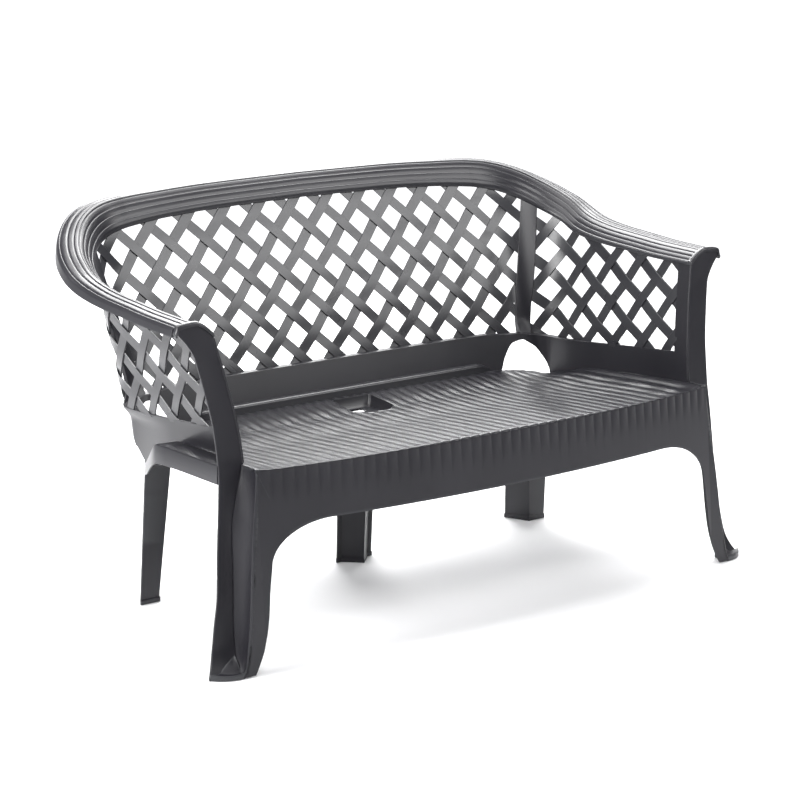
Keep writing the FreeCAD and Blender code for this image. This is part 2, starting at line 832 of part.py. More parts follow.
os.makedirs("parts", exist_ok=True)
box = FreeCAD.BoundBox()
for item in finished:
    shape = item.Shape
    if shape.isNull() or not shape.isValid() or not shape.Solids:
        raise RuntimeError(f"{item.Label} is not a sound solid")
    shape.exportStep(f"parts/{item.Label}.step")
    box.add(shape.BoundBox)
    print(f"{item.Label:26s} solids {len(shape.Solids):3d} volume {shape.Volume / 1000:9.1f} cm3")
print("x", box.XMin, box.XMax, "y", box.YMin, box.YMax, "z", box.ZMin, box.ZMax)
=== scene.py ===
"""Garden bench moulded in dark resin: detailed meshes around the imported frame.

Lengths are in millimetres until a mesh is made. X runs along the bench, Y towards the back and
Z up. "place" runs along the wall of back and arms: -1 at the middle of the back, 0 and 1 at the
ends of the corner's round, 2 at the front of the arm. The left side mirrors the right side.
"""
import math

import bmesh
import bpy
import numpy as np
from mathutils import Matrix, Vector


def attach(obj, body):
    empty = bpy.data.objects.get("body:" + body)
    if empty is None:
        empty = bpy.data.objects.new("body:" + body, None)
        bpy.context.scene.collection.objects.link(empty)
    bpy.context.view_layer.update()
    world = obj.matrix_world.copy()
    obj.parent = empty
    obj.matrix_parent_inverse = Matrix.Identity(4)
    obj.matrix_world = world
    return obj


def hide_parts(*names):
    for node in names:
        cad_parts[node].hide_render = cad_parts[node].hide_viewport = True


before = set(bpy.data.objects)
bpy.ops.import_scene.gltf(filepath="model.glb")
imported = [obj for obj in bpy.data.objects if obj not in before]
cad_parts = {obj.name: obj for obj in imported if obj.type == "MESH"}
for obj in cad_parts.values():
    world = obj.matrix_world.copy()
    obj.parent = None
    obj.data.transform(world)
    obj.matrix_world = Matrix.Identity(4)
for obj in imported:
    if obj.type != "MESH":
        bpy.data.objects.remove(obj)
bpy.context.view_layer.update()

MM = 0.001
SIDES = (("left", -1.0), ("right", 1.0))

# ---------------------------------------------------------------- sizes of the bench

SEAT_HEIGHT = 400.0
SEAT_FRONT = -383.5
SEAT_CORNER = (588.0, -334.5)
SEAT_BACK = 176.0
FLUTE = 25.3
SHOULDER = 9.0
SKIN = 5.0

# Height of the seat along its middle and along its edge, and x of that edge, by Y.
SEAT_MIDDLE = [(-378, 400), (-330, 376.6), (-280, 369), (-210, 365.2), (-120, 359.4), (-30, 353.7),
               (60, 353.2), (115, 357.9), (176, 366)]
SEAT_SIDE = [(-340, 397), (-273, 395), (-73, 382), (44, 371.5), (69, 363), (106, 354), (136, 344.5),
             (160, 350), (176, 359)]
SEAT_EDGE = [(-335, 588), (-272, 581), (-73, 576), (44, 568), (106, 560), (136, 552), (155, 530), (167, 500),
             (174, 455), (177, 432)]
SIDE_POWER = 9.0
FRONT_GROOVE, FACE_GROOVE = 2.4, 2.65
FLUTES_END, FLUTES_FADE = 572.0, 12.0

# Inner face of the lattice: x of the arm at its front and y of the back's middle, by height.
ARM_FACE = [(300, 566), (330, 573), (366, 578), (396, 581), (440, 585), (455, 587), (536, 600),
            (570, 607), (604, 614), (642, 622), (700, 633), (860, 663)]
BACK_FACE = [(300, 173), (366, 190), (456, 215.8), (500, 228.3), (543.4, 241.6), (587, 255.6), (630, 270.3),
             (673, 285.9), (716.5, 302.2), (757.3, 318.1), (860, 360)]
ARM_Y, ARM_SPLAY = -272.5, 0.025
CORNER_RADIUS, CORNER_OPENING = 75.0, 0.32
BACK_BOW = (7.5, 450.0)
WALL = 5.5
LEDGE = 12.4
BAND_SPREAD = 26.0

# Lower edge of the rail, top and lower edge of the band, by place.
RAIL_EDGE = [(-1, 779.5), (-0.5, 776), (-0.2, 769.5), (0, 761), (0.17, 753), (0.3, 743), (0.46, 726),
             (0.6, 709), (0.72, 696), (0.84, 684), (0.96, 669), (1.1, 657), (1.3, 649.5), (1.5, 645.5),
             (1.7, 641.5), (2.0, 639.5)]
BAND_EDGE = [(-1, 443), (-0.2, 442), (-0.06, 437), (0.4, 431), (1.0, 427), (1.23, 431.5), (1.5, 441),
             (1.67, 447), (2.0, 457)]
FOOT_BACK = [(-1, 360), (-0.27, 358), (-0.18, 350)]
FOOT_ARCH = [(-0.16, 359), (-0.12, 388), (-0.05, 418), (0, 422), (0.26, 412), (0.42, 404), (0.58, 389),
             (0.92, 355.5), (1.01, 344)]
FOOT_ARM = [(1.09, 314), (1.16, 316), (1.23, 323), (1.3, 338), (1.42, 368), (1.52, 383), (2.0, 390)]
WALL_FOOT = FOOT_BACK + FOOT_ARCH + FOOT_ARM

# Edges of the corner post, by height.
POST_BACK = [(430, 0.0), (500, 0.17), (568, 0.30), (625, 0.365), (727, 0.45), (780, 0.48)]
POST_ARM = [(430, 0.366), (500, 0.455), (556, 0.52), (630, 0.56), (707, 0.586), (780, 0.61)]
STILE_PLACE = 1.905

# Rim outside the arm's foot: y, x, top and lower edge of its stations.
SKIRT = [(-281, 640, 404, 364), (-160, 640, 404, 364.5), (-100, 640, 404, 364), (-66, 640, 403, 362),
         (-50, 637, 395.5, 355), (-35, 632, 383, 348), (-12, 622, 368.5, 336), (20, 608, 348.5, 317),
         (50, 592, 335, 307), (80, 575, 326, 298.5), (102, 560, 319, 291.5), (118, 549, 314, 286.5)]

SLAT_PITCH, SLAT_RISE, SLAT_WIDTH, SLAT_SKIN = 89.7, 43.3, 23.0, 3.2
SLAT_LEVEL = 456.6
ARM_OPENING = (6.5, 570.1)
ARM_FALL, ARM_CLIMB = (57.1, -33.3), (34.5, 53.0)
WEAVE = 1.5

# Legs: x of the front's two edges and its reach by depth under the seat, x of the post by height.
LEG_DEPTH = 398.0
CORNER_SHARE, APRON_SHARE, KNEE_SHARE = 0.52, 0.42, 0.62
APRON_END, APRON_DEPTH, SHOULDER_END = 430.0, 114.5, 470.0
KNEE_REACH, KNEE_DROP = 136.0, 82.5
LEG_INNER = [(160, 558.5), (195, 566), (240, 573), (295, 579), (348, 590), (384, 606), (398, 614)]
LEG_OUTER = [(0, 583), (60, 588), (120, 597), (200, 607), (294, 617), (348, 626), (384, 634), (398, 641)]
FRONT_REACH = [(0, 0), (100, 8.0), (200, 17), (300, 25), (398, 31)]
POST_OUTER_X = [(0, 700.5), (20, 688), (50, 677), (95, 668), (150, 658), (228, 652), (320, 644), (394, 638.5),
                (470, 641), (540, 651.5), (580, 659), (608, 665.5), (626, 673), (642, 687)]
POST_INNER_X = [(0, 640), (20, 634), (50, 630), (95, 627), (150, 623), (200, 620), (280, 617), (340, 604),
                (392, 585), (450, 588), (540, 601), (642, 622)]
RETURN_BACK_X = POST_INNER_X[:8] + [(396, 586)]
POST_SET_BACK = [(0, -76), (20, -60), (50, -46), (95, -37), (150, -32), (228, -25), (340, -18), (396, -12),
                 (642, 28)]
POST_SWEEP = [(0, 12), (50, 6), (95, 2), (228, 0)]
POST_HEAD, POST_TOP = 600.0, 642.0
CAP_LEVEL, CAP_RISE = 640.0, 1.12

# Rail: top and underside as (out, up), ridge borders, and scale, rise and outward tilt by place.
RAIL_TOP = [(-2, 6), (8, 14), (22, 23), (40, 29), (62, 28), (82, 25), (88, 19), (90, 12), (90, 9)]
RAIL_UNDER = [(85, 9), (83, 14), (78, 20), (60, 23), (40, 24), (24, 18), (12, 10), (7, 0)]
RAIL_GROOVES = [-5, 3.5, 12.5, 22.5, 33.5, 46, 61, 78, 96]
RAIL_WIDTH = [(-1, 0.74), (0.0, 0.76), (0.5, 0.82), (1.0, 0.92), (1.3, 0.95)]
RAIL_RISE = [(-1, 1.78), (-0.22, 1.80), (0, 1.92), (0.41, 1.98), (0.6, 1.90), (0.9, 1.58), (1.1, 1.33),
             (1.3, 1.22), (2.0, 1.12)]
RAIL_TILT = [(-1, 1.4), (-0.5, 4), (-0.25, 7), (0, 11), (0.35, 14), (0.6, 13), (0.85, 7), (1.1, 4),
             (1.5, 2.5), (2.0, 0)]


def value(table, at):
    """Smooth value of a table at a position or an array of them: monotone cubic, flat outside it."""
    x = np.array([row[0] for row in table], float)
    y = np.array([row[1] for row in table], float)
    step = np.diff(x)
    slope = np.diff(y) / step
    tangent = np.zeros(len(x))
    tangent[0], tangent[-1] = slope[0], slope[-1]
    for i in range(1, len(x) - 1):
        if slope[i - 1] * slope[i] > 0:
            first = 2 * step[i] + step[i - 1]
            second = step[i] + 2 * step[i - 1]
            tangent[i] = (first + second) / (first / slope[i - 1] + second / slope[i])
    at = np.clip(at, x[0], x[-1])
    i = np.clip(np.searchsorted(x, at, side="right") - 1, 0, len(step) - 1)
    t = (at - x[i]) / step[i]
    h = step[i]
    return ((1 + 2 * t) * (1 - t) ** 2 * y[i] + t * (1 - t) ** 2 * h * tangent[i]
            + t * t * (3 - 2 * t) * y[i + 1] + t * t * (t - 1) * h * tangent[i + 1])


def smooth_step(t):
    t = np.clip(t, 0.0, 1.0)
    return t * t * (3 - 2 * t)


# ---------------------------------------------------------------- the wall of back and arms

LEVELS = np.arange(300.0, 861.0, 2.0)
ARM_LEVELS = value(ARM_FACE, LEVELS)
BACK_LEVELS = value(BACK_FACE, LEVELS)
FRONT_LEVELS = value(POST_SET_BACK, LEVELS)
NORMAL = (1.0 / math.hypot(1.0, ARM_SPLAY), ARM_SPLAY / math.hypot(1.0, ARM_SPLAY))
CORNER_TURN = math.pi / 2 - math.atan(ARM_SPLAY)


def wall_frame(height):
    """Plan of the wall's inner face at a height: the corner's radius and the x and y of its centre."""
    radius = CORNER_RADIUS + CORNER_OPENING * (height - 440.0)
    centre_y = np.interp(height, LEVELS, BACK_LEVELS) - radius
    centre_x = np.interp(height, LEVELS, ARM_LEVELS) - radius / NORMAL[0] - ARM_SPLAY * (centre_y - ARM_Y)
    return radius, centre_x, centre_y


def arm_start(height):
    """Y where the arm's straight run starts."""
    radius, _, centre_y = wall_frame(height)
    return centre_y + radius * NORMAL[1]


def arm_length(height):
    """Length of the arm's straight run at a height."""
    front = ARM_Y + np.interp(height, LEVELS, FRONT_LEVELS) + SKIN - 0.5
    return (arm_start(height) - front) / NORMAL[0]


def back_bow(x):
    """How far the back bows forward at x."""
    return BACK_BOW[0] * (x / BACK_BOW[1]) ** 6


def wall_point(place, height, out=0.0):
    """Point of the right half of the wall, out millimetres outside its inner face."""
    radius, centre_x, centre_y = wall_frame(height)
    reach = radius + out
    if place <= 0:
        x = centre_x * (1 + place)
        return np.array([x, centre_y + reach - back_bow(x), height])
    if place <= 1:
        angle = math.pi / 2 - CORNER_TURN * place
        reach -= back_bow(centre_x) * (1 - place * place * (3 - 2 * place))
        return np.array([centre_x + reach * math.cos(angle), centre_y + reach * math.sin(angle), height])
    run = arm_length(height) * (place - 1)
    return np.array([centre_x + reach * NORMAL[0] + NORMAL[1] * run,
                     centre_y + reach * NORMAL[1] - NORMAL[0] * run, height])


def place_from_middle(along, height):
    """Place of a point that lies along millimetres from the middle of the back."""
    radius, centre_x, _ = wall_frame(height)
    if along <= centre_x:
        return along / centre_x - 1
    return (along - centre_x) / (radius * CORNER_TURN)


def place_from_front(ahead, height):
    """Place of a point of the arm that lies ahead millimetres in front of the origin."""
    along = arm_start(height) + ahead
    if along >= 0:
        return 1 + along / arm_length(height)
    return 1 + along / (wall_frame(height)[0] * CORNER_TURN)


def post_place(edge, height):
    """Place of the corner post's edge, 0 the back's and 1 the arm's, at a height."""
    return float(value((POST_BACK, POST_ARM)[edge], height))


# ---------------------------------------------------------------- meshes

def sheet(front, back):
    """Closed sheet between two equal grids of points, as (points, faces)."""
    rows, columns = front.shape[:2]
    near = np.arange(rows * columns).reshape(rows, columns)
    far = near + rows * columns
    faces = []
    for grid in (near, far):
        corners = np.stack([grid[:-1, :-1], grid[:-1, 1:], grid[1:, 1:], grid[1:, :-1]], -1)
        faces += corners.reshape(-1, 4).tolist()
    rim = np.concatenate([near[0, :-1], near[:-1, -1], near[-1, :0:-1], near[:0:-1, 0]])
    below = rim + rows * columns
    faces += np.stack([rim, np.roll(rim, -1), np.roll(below, -1), below], -1).tolist()
    return np.concatenate([front.reshape(-1, 3), back.reshape(-1, 3)]), faces


def tube(rings, capped=True):
    """Closed skin over rings of points, as (points, faces)."""
    rings = np.asarray(rings, float)
    count, around = rings.shape[:2]
    index = np.arange(count * around).reshape(count, around)
    turned = np.roll(index, -1, axis=1)
    faces = np.stack([index[:-1], turned[:-1], turned[1:], index[1:]], -1).reshape(-1, 4).tolist()
    if capped:
        faces += [index[0].tolist(), index[-1].tolist()]
    return rings.reshape(-1, 3), faces


def on_side(part, side):
    """The part, or its mirror image for the left side."""
    points, faces = part
    return points * np.array([side, 1.0, 1.0]), faces


def make_piece(name, parts, material, nodes, slot, sharp=38.0, bevel=0.0):
    """Piece of the object from closed skins, riding on the one body."""
    mesh = bpy.data.meshes.new(name)
    offset = 0
    points = []
    faces = []
    for part_points, part_faces in parts:
        points.append(part_points)
        faces += [[corner + offset for corner in face] for face in part_faces]
        offset += len(part_points)
    mesh.from_pydata((np.concatenate(points) * MM).tolist(), [], faces)
    skin = bmesh.new()
    skin.from_mesh(mesh)
    bmesh.ops.remove_doubles(skin, verts=skin.verts, dist=1e-6)
    bmesh.ops.recalc_face_normals(skin, faces=skin.faces)
    skin.to_mesh(mesh)
    skin.free()
    mesh.shade_smooth()
    piece = bpy.data.objects.new(name, mesh)
    bpy.context.collection.objects.link(piece)
    if bevel:
        edge = piece.modifiers.new("soft_edges", "BEVEL")
        edge.width = bevel * MM
        edge.segments = 3
        edge.limit_method = "ANGLE"
        edge.angle_limit = math.radians(sharp)
        edge.harden_normals = True
        edge.use_clamp_overlap = True
    else:
        mesh.set_sharp_from_angle(angle=math.radians(sharp))
    mesh.materials.append(material)
    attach(piece, "root")
    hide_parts(*nodes)
    return piece


# ---------------------------------------------------------------- material

def resin(name, seed, roughness, grain, sheen):
    """Satin dark resin: faint tone drift, lighter convex edges, fine moulded grain."""
    material = bpy.data.materials.new(name)
    material.use_nodes = True
    nodes = material.node_tree.nodes
    links = material.node_tree.links
    shader = nodes["Principled BSDF"]
    shader.inputs["IOR"].default_value = 1.5
    shader.inputs["Specular IOR Level"].default_value = sheen
    where = nodes.new("ShaderNodeTexCoord")

    drift = nodes.new("ShaderNodeTexNoise")
    drift.noise_dimensions = "4D"
    drift.inputs["W"].default_value = seed
    drift.inputs["Scale"].default_value = 7.0
    drift.inputs["Detail"].default_value = 4.0
    links.new(where.outputs["Object"], drift.inputs["Vector"])
    tone = nodes.new("ShaderNodeValToRGB")
    tone.color_ramp.elements[0].position = 0.3
    tone.color_ramp.elements[0].color = (0.0130, 0.0125, 0.0160, 1)
    tone.color_ramp.elements[1].position = 0.7
    tone.color_ramp.elements[1].color = (0.0170, 0.0164, 0.0205, 1)
    links.new(drift.outputs["Fac"], tone.inputs["Fac"])

    # Convex edges, found by pointiness, are mixed towards a lighter colour.
    shape = nodes.new("ShaderNodeNewGeometry")
    convex_edge_share = nodes.new("ShaderNodeMapRange")
    convex_edge_share.inputs["From Min"].default_value = 0.52
    convex_edge_share.inputs["From Max"].default_value = 0.62
    links.new(shape.outputs["Pointiness"], convex_edge_share.inputs["Value"])
    edges = nodes.new("ShaderNodeMix")
    edges.data_type = "RGBA"
    edges.inputs["B"].default_value = (0.04, 0.041, 0.045, 1)
    links.new(convex_edge_share.outputs["Result"], edges.inputs["Factor"])
    links.new(tone.outputs["Color"], edges.inputs["A"])
    links.new(edges.outputs["Result"], shader.inputs["Base Color"])

    fine = nodes.new("ShaderNodeTexNoise")
    fine.noise_dimensions = "4D"
    fine.inputs["W"].default_value = seed + 3.0
    fine.inputs["Scale"].default_value = grain
    fine.inputs["Detail"].default_value = 3.0
    links.new(where.outputs["Object"], fine.inputs["Vector"])
    gloss = nodes.new("ShaderNodeMapRange")
    gloss.inputs["To Min"].default_value = roughness - 0.04
    gloss.inputs["To Max"].default_value = roughness + 0.05
    links.new(drift.outputs["Fac"], gloss.inputs["Value"])
    links.new(gloss.outputs["Result"], shader.inputs["Roughness"])
    bump = nodes.new("ShaderNodeBump")
    bump.inputs["Strength"].default_value = 0.12
    bump.inputs["Distance"].default_value = 0.0004
    links.new(fine.outputs["Fac"], bump.inputs["Height"])
    links.new(bump.outputs["Normal"], shader.inputs["Normal"])
    return material


SEAT = resin("resin_seat", 1.0, 0.29, 900.0, 0.5)
LATTICE = resin("resin_lattice", 2.0, 0.28, 800.0, 0.6)
RAIL = resin("resin_rail", 3.0, 0.30, 900.0, 0.5)
LEGS = resin("resin_legs", 4.0, 0.36, 800.0, 0.35)
PANELS = resin("resin_panels", 5.0, 0.30, 800.0, 0.45)


# ---------------------------------------------------------------- seat

def bow(x):
    """Set-back of the bowed front edge at x, from its middle."""
    half, sag = SEAT_CORNER[0], SEAT_CORNER[1] - SEAT_FRONT
    radius = (half * half + sag * sag) / (2 * sag)
    return radius - np.sqrt(radius * radius - x * x)


def knuckle(x):
    """1 at the middle of a front flute and 0 in the groove between two."""
    share = np.mod(np.asarray(x) / FLUTE, 1.0)
    return 1 - (2 * share - 1) ** 2


def side_limit(y):
    """X where the seat meets the arm or the corner, at each Y."""
    return value(SEAT_EDGE, y)


def seat_z(x, y):
    """Height of the dished seat, without its flutes."""
    middle = value(SEAT_MIDDLE, y)
    side = value(SEAT_SIDE, y)
    share = np.clip(np.abs(x) / side_limit(y), 0, 1)
    return middle + (side - middle) * share ** SIDE_POWER


def seat_flutes(x, y):
    """Depth of the fine flutes on the seat's top."""
    fade = smooth_step((y - SEAT_FRONT - bow(x) - 22.0) / 50.0)
    wave = 0.5 + 0.5 * np.cos(2 * np.pi * x / FLUTE)
    return -1.9 * fade * wave ** 1.5


SEAT_ROLL = SHOULDER + 9.0


def seat_panel():
    across = np.linspace(-1, 1, 561)
    rows = np.linspace(0, 1, 130)
    nominal = across * SEAT_CORNER[0]
    front = SEAT_FRONT + bow(nominal) + SEAT_ROLL
    y = front[None, :] + (SEAT_BACK - front[None, :]) * rows[:, None]
    x = across[None, :] * side_limit(y)
    z = seat_z(x, y) + seat_flutes(x, y)
    top = np.stack([x, y, z], -1)
    under = np.stack([x, y, seat_z(x, y) - SKIN], -1)
    return sheet(top, under)


MOUTH = [(-30, 52), (30, 52), (55, 78), (50, 158), (-50, 158), (-55, 78)]
MOUTH_ROUND, MOUTH_MIDDLE = 9.0, (0.0, 108.0)
SOCKET_FLOOR, SOCKET_SKIN, SOCKET_HOLE, SOCKET_CENTRE = 338.0, 4.0, 19.0, (0.0, 134.0)


def rounded(outline, radius, steps=6):
    """Outline with each corner rounded, as an array of (x, y)."""
    corners = [np.array(corner, float) for corner in outline]
    points = []
    for i, corner in enumerate(corners):
        before = corners[i - 1] - corner
        after = corners[(i + 1) % len(corners)] - corner
        before /= np.linalg.norm(before)
        after /= np.linalg.norm(after)
        half = math.acos(np.clip(before @ after, -1, 1)) / 2
        reach = radius / math.tan(half)
        start, end = corner + before * reach, corner + after * reach
        for step in range(steps + 1):
            t = step / steps
            points.append((1 - t) ** 2 * start + 2 * t * (1 - t) * corner + t * t * end)
    return np.array(points)


def cut_mouth(seat):
    """Cuts the socket's mouth through the seat."""
    outline = rounded(MOUTH, MOUTH_ROUND)
    rings = [np.column_stack([outline, np.full(len(outline), z)]) for z in (300.0, 420.0)]
    points, faces = tube(rings)
    mesh = bpy.data.meshes.new("mouth_cutter")
    mesh.from_pydata((points * MM).tolist(), [], faces)
    cutter = bpy.data.objects.new("mouth_cutter", mesh)
    bpy.context.collection.objects.link(cutter)
    cut = seat.modifiers.new("mouth", "BOOLEAN")
    cut.operation = "DIFFERENCE"
    cut.solver = "EXACT"
    cut.object = cutter
    bpy.context.view_layer.update()
    graph = bpy.context.evaluated_depsgraph_get()
    result = bpy.data.meshes.new_from_object(seat.evaluated_get(graph))
    seat.modifiers.clear()
    seat.data = result
    bpy.data.objects.remove(cutter)


def seat_socket():
    """Tub under the mouth, with a round hole in its floor."""
    mouth = rounded(MOUTH, MOUTH_ROUND)
    centre = np.array(SOCKET_CENTRE)
    angle = np.arctan2(mouth[:, 1] - centre[1], mouth[:, 0] - centre[0])
    hole = centre + SOCKET_HOLE * np.column_stack([np.cos(angle), np.sin(angle)])
    level = seat_z(mouth[:, 0], mouth[:, 1])
    middle = np.array(MOUTH_MIDDLE)

    def ring(scale, height):
        plan = middle + (mouth - middle) * scale
        return np.column_stack([plan, np.broadcast_to(height, len(mouth))])

    def hole_ring(height):
        return np.column_stack([hole, np.full(len(hole), height)])

    floor_under = SOCKET_FLOOR - SOCKET_SKIN
    rings = [
        ring(1.05, level - 1.5), ring(1.0, level - 0.3), ring(0.985, level - 3.0),
        ring(0.92, SOCKET_FLOOR + 5.0), ring(0.86, SOCKET_FLOOR), hole_ring(SOCKET_FLOOR),
        hole_ring(floor_under), ring(0.95, floor_under), ring(1.05, level - 6.0),
    ]
    return tube(rings + rings[:1], capped=False)


RIB_ROWS, RIB_REACH, RIB_THICK = (-285.0, -150.0, -15.0), 470.0, 4.0
RIB_LOW, CROSS_RIB_LOW, CROSS_RIB_REACH, CROSS_RIB_THICK = 342.0, 346.0, 420.0, 3.5


def ribs():
    """Stiffening ribs that follow the seat's underside: long ones and short cross ones."""
    long_ribs = []
    for y in RIB_ROWS:
        x = np.linspace(-RIB_REACH, RIB_REACH, 95)
        top = seat_z(x, np.full_like(x, y)) - SKIN + 0.5
        low = np.minimum(top - 8.0, RIB_LOW)
        low = np.where(np.abs(x) > 440, low + (np.abs(x) - 440) * 0.4, low)
        low = np.minimum(low, top - 2)
        front = np.stack([np.column_stack([x, y + 0 * x, top]), np.column_stack([x, y + 0 * x, low])])
        long_ribs.append(sheet(front, front + np.array([0, RIB_THICK, 0])))
    cross = []
    for x in np.linspace(-CROSS_RIB_REACH, CROSS_RIB_REACH, 7):
        for first, last in zip(RIB_ROWS, RIB_ROWS[1:]):
            y = np.linspace(first + 3.5, last + 0.5, 16)
            top = seat_z(np.full_like(y, x), y) - SKIN + 0.5
            low = np.minimum(top - 6.0, CROSS_RIB_LOW)
            along = np.full_like(y, x)
            front = np.stack([np.column_stack([along, y, top]), np.column_stack([along, y, low])])
            cross.append(sheet(front, front + np.array([CROSS_RIB_THICK, 0, 0])))
    return long_ribs, cross


def ledge():
    """Rounded ledge along the back of the seat, thinning out at its ends."""
    reach, base = 425.0, 364.0
    y = SEAT_BACK + 4.5
    rings = []
    for x in np.linspace(-reach, reach, 120):
        fade = smooth_step((reach - abs(x)) / 60.0)
        top = base + 3.0 + 15.0 * fade
        front = y - 4.0 - 9.0 * fade
        rings.append([(x, y, base - 6), (x, front, base - 6), (x, front, top - 5),
                      (x, front + 1.2, top - 2), (x, front + 4, top), (x, front + 8, top + 1.0),
                      (x, y + 1, top + 1.5), (x, y + 3, base)])
    return tube(rings)


# ---------------------------------------------------------------- front skin

def front_y(x, depth):
    """Y of the front skin at x and a depth under the seat."""
    return SEAT_FRONT + bow(np.clip(np.abs(x), 0, SEAT_CORNER[0])) - value(FRONT_REACH, depth)


def fluted(x):
    """1 over the fluted front, fading out at the seat's corners."""
    return 1 - smooth_step((np.abs(x) - FLUTES_END) / FLUTES_FADE)


def flute_depth(depth):
    """Depth of the grooves between front flutes, fading down the apron."""
    main = FRONT_GROOVE * (1 - smooth_step((depth - 10.0) / 58.0))
    trace = 0.15 * (1 - smooth_step((depth - 60.0) / 45.0))
    return main + trace


def front_curves(share):
    """Outer and inner edge points (x, depth) of the front skin's right half at a share of its run."""
    corner, turn, knee = CORNER_SHARE, APRON_SHARE, KNEE_SHARE
    if share <= turn:
        inner = (APRON_END * share / turn, APRON_DEPTH)
    elif share <= knee:
        angle = (share - turn) / (knee - turn) * math.pi / 2
        inner = (APRON_END + KNEE_REACH * math.sin(angle), APRON_DEPTH + KNEE_DROP * (1 - math.cos(angle)))
    else:
        knee_depth = APRON_DEPTH + KNEE_DROP
        depth = knee_depth + (LEG_DEPTH - knee_depth) * (share - knee) / (1 - knee)
        inner = (float(value(LEG_INNER, depth)), depth)
    if share <= turn:
        outer = (SHOULDER_END * share / turn, SHOULDER)
    elif share <= corner:
        outer = (SHOULDER_END + (SEAT_CORNER[0] - SHOULDER_END) * (share - turn) / (corner - turn), SHOULDER)
    else:
        depth = SHOULDER + (LEG_DEPTH - SHOULDER) * ((share - corner) / (1 - corner)) ** 1.15
        outer = (float(value(LEG_OUTER, depth)), depth)
    return outer, inner


def front_skin():
    """Columns of the right half of the front skin below the shoulder, from the middle outwards."""
    shares = np.concatenate([np.linspace(0, CORNER_SHARE, 300), np.linspace(CORNER_SHARE, 1, 90)[1:]])
    drops = np.linspace(0, 1, 26) ** 1.2
    grid = np.zeros((len(drops), len(shares), 3))
    for column, share in enumerate(shares):
        outer, inner = front_curves(share)
        x = outer[0] + (inner[0] - outer[0]) * drops
        depth = outer[1] + (inner[1] - outer[1]) * drops
        y = front_y(x, depth) + flute_depth(depth) * (1 - knuckle(x)) * fluted(x)
        grid[:, column] = np.stack([x, y, SEAT_HEIGHT - depth], -1)
    return shares, grid


def shoulder(x):
    """Rolled front edge of the seat over columns at x, from the seat's top down to the apron."""
    top = np.linspace(SEAT_ROLL, SHOULDER, 7)[:-1]
    angles = np.linspace(0, np.pi / 2, 10)
    rows = []
    groove = (1 - knuckle(x)) * fluted(x)
    edge = SEAT_FRONT + bow(x)
    for back in top:
        y = edge + back
        reach = SHOULDER + 3.0 + 6.0 * (1 - groove)
        fade = 1 - smooth_step((back - SHOULDER) / np.maximum(reach - SHOULDER, 1.0))
        rows.append(np.stack([x, y, seat_z(x, y) - FRONT_GROOVE * groove * fade], -1))
    for angle in angles:
        y = edge + SHOULDER * (1 - math.sin(angle))
        base = seat_z(x, edge + SHOULDER)
        z = base + (SEAT_HEIGHT - base) * math.sin(angle) - SHOULDER * (1 - math.cos(angle))
        y = y + FACE_GROOVE * groove * math.sin(angle)
        z = z - FRONT_GROOVE * groove * math.cos(angle)
        rows.append(np.stack([x, y - value(FRONT_REACH, SHOULDER) * math.sin(angle), z], -1))
    return np.stack(rows)


def thicken_front(grid, roll_rows):
    """The inner face of the front skin: behind the sheet, and below it on the rolled edge."""
    inner = grid.copy()
    share = np.linspace(0, 1, roll_rows)[:, None]
    inner[:roll_rows, :, 1] += SKIN * share
    inner[:roll_rows, :, 2] -= SKIN * (1 - share)
    inner[roll_rows:, :, 1] += SKIN
    return inner


def front_parts():
    """Apron and both leg fronts as one closed sheet, and the leg fronts below the seat's corners."""
    shares, skin = front_skin()
    corner = int(np.argmin(np.abs(shares - CORNER_SHARE)))
    roll = shoulder(skin[0, :corner + 1, 0])
    right = np.concatenate([roll[:-1], skin[:, :corner + 1]])
    left = right[:, :0:-1] * np.array([-1, 1, 1])
    whole = np.concatenate([left, right], axis=1)
    low = skin[:, corner:]
    leg = sheet(low, low + np.array([0, SKIN, 0]))
    return [sheet(whole, thicken_front(whole, len(roll))), leg, on_side(leg, -1)]


# ---------------------------------------------------------------- legs

def post_front(height):
    return ARM_Y + value(POST_SET_BACK, height)


def leg_front(height):
    return SEAT_CORNER[1] - value(FRONT_REACH, SEAT_HEIGHT - height)


def leg_return():
    """Side of the leg between front face and post, with a bead along both of its edges."""
    heights = np.concatenate([np.linspace(6, 60, 12), np.linspace(70, 396, 30)])
    shape = [(0.0, 0.0), (0.03, 1.6), (0.07, 2.0), (0.11, 1.3), (0.15, 0.2), (0.5, -0.6), (0.85, 0.2),
             (0.9, 1.3), (0.94, 1.8), (0.98, 1.2), (1.0, 0.0)]
    outside = np.zeros((len(heights), len(shape), 3))
    for row, height in enumerate(heights):
        start = np.array([value(LEG_OUTER, SEAT_HEIGHT - height), leg_front(height)])
        end = np.array([value(RETURN_BACK_X, height), post_front(height)])
        for column, (share, rise) in enumerate(shape):
            spot = start + (end - start) * share
            outside[row, column] = (spot[0] + rise, spot[1], height)
    inside = outside - np.array([SKIN, 0, 0])
    return sheet(outside, inside)


def rail_height(out, rise):
    """Height of the rail's top over its inner edge, out millimetres outside it."""
    return value(RAIL_TOP, out) * rise


